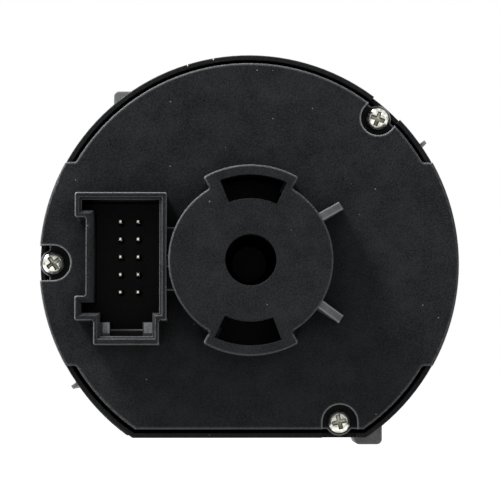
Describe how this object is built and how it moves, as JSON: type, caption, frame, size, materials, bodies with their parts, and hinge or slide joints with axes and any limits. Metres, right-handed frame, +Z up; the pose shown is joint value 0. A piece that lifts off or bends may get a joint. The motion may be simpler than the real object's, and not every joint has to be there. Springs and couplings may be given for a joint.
{
  "type": "headlight switch",
  "caption": "Round dashboard rotary lamp switch with a flat below, a pull-out knob, two thumbwheels, sprung locking lugs and a rear plug socket.",
  "frame": {"origin": "the knob's axis where it crosses the plane of the bezel's seat on the dashboard", "axes": "+Y along the knob's axis from the driver into the dashboard, +Z up, +X to the driver's right"},
  "size_m": [0.0792, 0.0677, 0.073],
  "materials": {
    "case": "fine grain, matt black",
    "cover": "fine grain, matt black",
    "trim": "satin black",
    "panel": "gloss black with pale symbols",
    "clear": "clear moulded",
    "carrier": "moulded black",
    "board": "black solder mask",
    "chip": "moulded black",
    "header": "moulded black",
    "screws": "zinc plated",
    "slider": "natural acetal",
    "spring": "spring steel",
    "sensor": "moulded black",
    "rotor": "natural acetal",
    "wiper": "stamped",
    "shaft": "glass filled black",
    "knob": "soft-feel black",
    "knob_trim": "satin chrome",
    "pointer": "white",
    "wheel": "ribbed black",
    "axle": "ground",
    "lug": "grey moulded",
    "lamp": "pale yellow cast resin",
    "pins": "tin plated"
  },
  "bodies": {
    "housing": {"housing": "case", "bezel_ring": "trim", "face_plate": "panel", "symbol_light_guide": "clear", "front_carrier": "carrier", "circuit_board": "board", "controller_chip": "chip", "led_1": "lamp", "led_2": "lamp", "led_3": "lamp", "pin_header": "header", "contact_pin_1": "pins", "contact_pin_2": "pins", "contact_pin_3": "pins", "contact_pin_4": "pins", "contact_pin_5": "pins", "contact_pin_6": "pins", "contact_pin_7": "pins", "contact_pin_8": "pins", "contact_pin_9": "pins", "contact_pin_10": "pins", "rear_cover": "cover", "cover_screws": "screws", "detent_plunger_1": "slider", "detent_plunger_2": "slider", "detent_spring_1": "spring", "detent_spring_2": "spring", "lug_spring_1": "spring", "lug_spring_2": "spring", "dimmer_sensor": "sensor", "level_sensor": "sensor"},
    "rotor": {"rotor": "rotor", "shaft_retainer": "spring", "wiper_contacts": "wiper"},
    "shaft": {"shaft": "shaft", "knob_return_spring": "spring"},
    "knob": {"knob": "knob", "knob_ring": "knob_trim", "knob_pointer": "pointer"},
    "dimmer_wheel": {"dimmer_wheel": "wheel", "dimmer_axle": "axle"},
    "level_wheel": {"level_wheel": "wheel", "level_axle": "axle"},
    "release_ring": {"release_ring": "slider"},
    "upper_lug": {"upper_lug": "lug"},
    "lower_lug": {"lower_lug": "lug"}
  },
  "joints": [
    {"name": "knob_turn", "type": "hinge", "parent": "housing", "child": "rotor", "pos_m": [0, 0, 0], "axis": [0, 1, 0], "range_deg": [-45, 90]},
    {"name": "knob_pull", "type": "slide", "parent": "rotor", "child": "shaft", "axis": [0, -1, 0], "range_m": [0, 0.008]},
    {"name": "knob_push", "type": "slide", "parent": "shaft", "child": "knob", "axis": [0, 1, 0], "range_m": [0, 0.0025], "stiffness_N_per_m": 600, "springref_m": -0.001, "deforming": ["knob_return_spring"]},
    {"name": "dimmer_turn", "type": "hinge", "parent": "housing", "child": "dimmer_wheel", "pos_m": [0.011, 0.0003, -0.027], "axis": [0, 0, 1], "range_deg": [-60, 60]},
    {"name": "level_turn", "type": "hinge", "parent": "housing", "child": "level_wheel", "pos_m": [-0.011, 0.0003, -0.027], "axis": [0, 0, 1], "range_deg": [0, 90]},
    {"name": "release_turn", "type": "hinge", "parent": "housing", "child": "release_ring", "pos_m": [0, 0, 0], "axis": [0, 1, 0], "range_deg": [0, 14.53]},
    {"name": "upper_lug_slide", "type": "slide", "parent": "housing", "child": "upper_lug", "axis": [0, 0, -1], "range_m": [0, 0.0057], "stiffness_N_per_m": 400, "springref_m": -0.003, "deforming": ["lug_spring_1"]},
    {"name": "lower_lug_slide", "type": "slide", "parent": "housing", "child": "lower_lug", "axis": [0, 0, 1], "range_m": [0, 0.0057], "deforming": ["lug_spring_2"]}
  ],
  "couplings": [
    {"joint": "release_turn", "follows": "upper_lug_slide", "rad_per_m": 44.479},
    {"joint": "lower_lug_slide", "follows": "upper_lug_slide", "ratio": 1}
  ]
}
